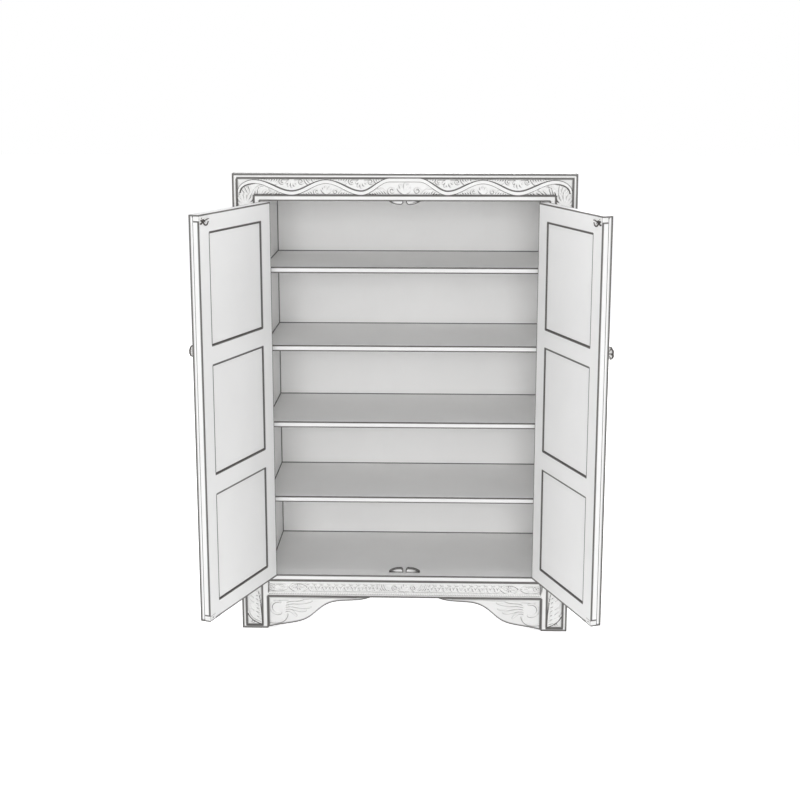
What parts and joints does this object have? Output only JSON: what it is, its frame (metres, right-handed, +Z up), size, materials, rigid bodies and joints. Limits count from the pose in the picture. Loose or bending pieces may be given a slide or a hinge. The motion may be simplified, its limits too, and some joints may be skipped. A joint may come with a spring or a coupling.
{
  "type": "accent cabinet",
  "caption": "Carved white accent cabinet with a ribbon-and-leaf front frame, two panelled doors standing open and board shelves.",
  "frame": {"origin": "on the floor, in the middle of the space that the cabinet takes with its doors open as stored", "axes": "+X to the right as seen from the front, +Y from the front to the back, +Z up"},
  "size_m": [1.1454, 0.8649, 1.395],
  "materials": {
    "carved_front": "white paint rubbed back, with grey glaze left in the carving",
    "painted_case": "satin white paint over wood, brushed",
    "painted_doors": "satin white paint over wood, brushed",
    "painted_inside": "satin white paint over wood",
    "carved_knob": "carved knob, white paint with dark glaze in the cuts",
    "aged_iron": "dark aged iron"
  },
  "bodies": {
    "root": {"back_panel": "painted_inside", "bottom_front_rail": "carved_front", "catch_screws": "aged_iron", "door_catches": "aged_iron", "floor_board": "painted_inside", "frieze_board": "carved_front", "hinge_frame_leaves": "aged_iron", "hinge_frame_screws": "aged_iron", "hinge_pins": "aged_iron", "left_foot_bracket": "carved_front", "left_front_stile": "carved_front", "left_lining_board": "painted_inside", "left_rear_post": "painted_case", "left_side_bottom_rail": "painted_case", "left_side_lower_panel": "painted_case", "left_side_mid_rail": "painted_case", "left_side_top_rail": "painted_case", "left_side_upper_panel": "painted_case", "rear_bottom_rail": "painted_case", "right_foot_bracket": "carved_front", "right_front_stile": "carved_front", "right_lining_board": "painted_inside", "right_rear_post": "painted_case", "right_side_bottom_rail": "painted_case", "right_side_lower_panel": "painted_case", "right_side_mid_rail": "painted_case", "right_side_top_rail": "painted_case", "right_side_upper_panel": "painted_case", "shelf_1": "painted_inside", "shelf_2": "painted_inside", "shelf_3": "painted_inside", "shelf_4": "painted_inside", "top_board": "painted_case"},
    "left_door": {"left_door_bottom_panel": "painted_doors", "left_door_bottom_rail": "painted_doors", "left_door_hinge_stile": "painted_doors", "left_door_knob": "carved_knob", "left_door_lower_rail": "painted_doors", "left_door_meeting_stile": "painted_doors", "left_door_middle_panel": "painted_doors", "left_door_strikes": "aged_iron", "left_door_top_panel": "painted_doors", "left_door_top_rail": "painted_doors", "left_door_upper_rail": "painted_doors", "left_hinge_door_leaves": "aged_iron", "left_hinge_door_screws": "aged_iron"},
    "right_door": {"right_door_bottom_panel": "painted_doors", "right_door_bottom_rail": "painted_doors", "right_door_hinge_stile": "painted_doors", "right_door_knob": "carved_knob", "right_door_lower_rail": "painted_doors", "right_door_meeting_stile": "painted_doors", "right_door_middle_panel": "painted_doors", "right_door_strikes": "aged_iron", "right_door_top_panel": "painted_doors", "right_door_top_rail": "painted_doors", "right_door_upper_rail": "painted_doors", "right_hinge_door_leaves": "aged_iron", "right_hinge_door_screws": "aged_iron"}
  },
  "joints": [
    {"name": "left_door_hinge", "type": "hinge", "parent": "root", "child": "left_door", "pos_m": [-0.42, -0.02682, 0.745], "axis": [0, 0, 1], "range_deg": [-65, 110]},
    {"name": "right_door_hinge", "type": "hinge", "parent": "root", "child": "right_door", "pos_m": [0.42, -0.02682, 0.745], "axis": [0, 0, -1], "range_deg": [-65, 110]}
  ]
}
